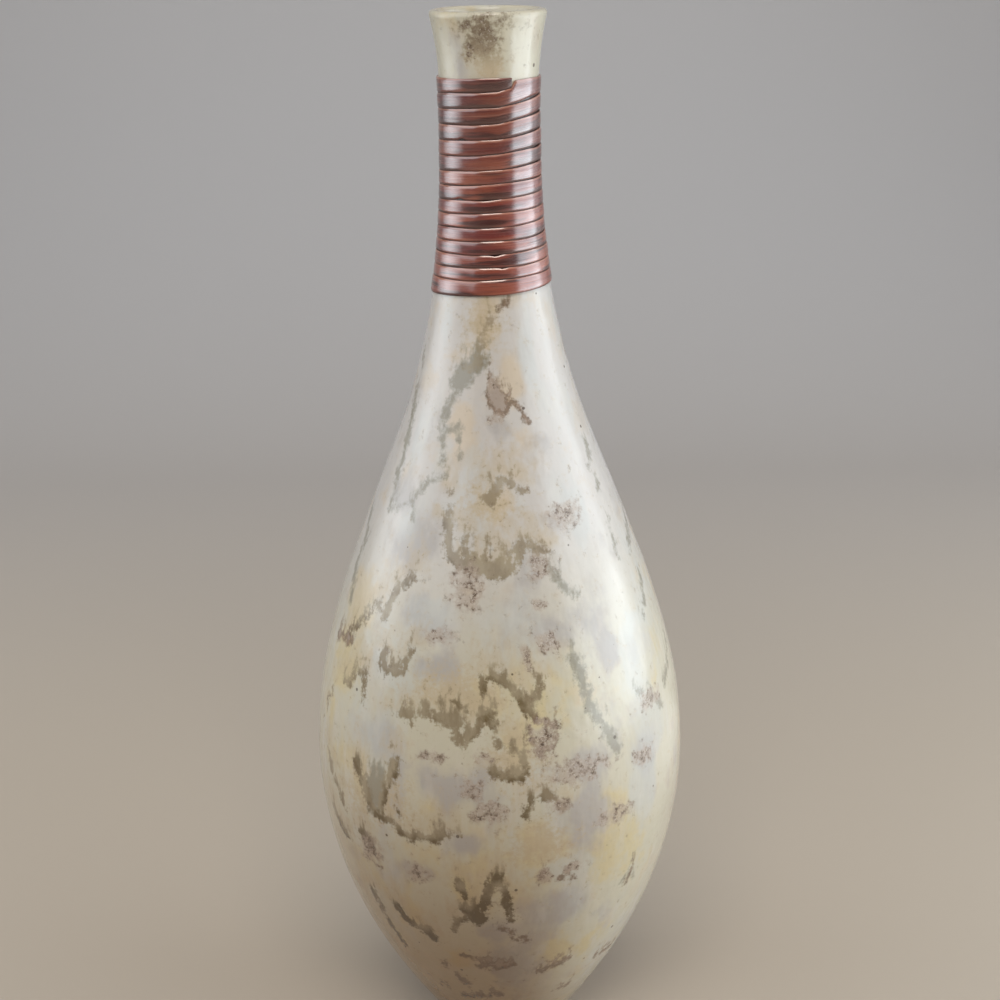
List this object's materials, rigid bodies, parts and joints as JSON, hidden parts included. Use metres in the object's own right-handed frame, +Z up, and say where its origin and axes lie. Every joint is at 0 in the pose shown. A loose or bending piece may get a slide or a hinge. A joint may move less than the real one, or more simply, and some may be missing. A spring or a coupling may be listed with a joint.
{
  "type": "bottle vase",
  "caption": "Tall hollow bottle vase in mottled glazed stoneware, with a flared lip and a neck bound in wound split cane, for standing dry or fresh stems.",
  "frame": {"origin": "middle of the foot ring, on the surface that the vase stands on", "axes": "+Z up the vase from foot to lip; -Y towards the pictured front; +X to the viewer's right"},
  "size_m": [0.1804, 0.1804, 0.5],
  "materials": {
    "glaze": "glossy cream glaze clouded with blue grey, olive and lavender",
    "cane": "split cane stained red brown, varnished"
  },
  "bodies": {
    "root": {"vase_body": "glaze", "neck_binding": "cane"}
  },
  "joints": []
}
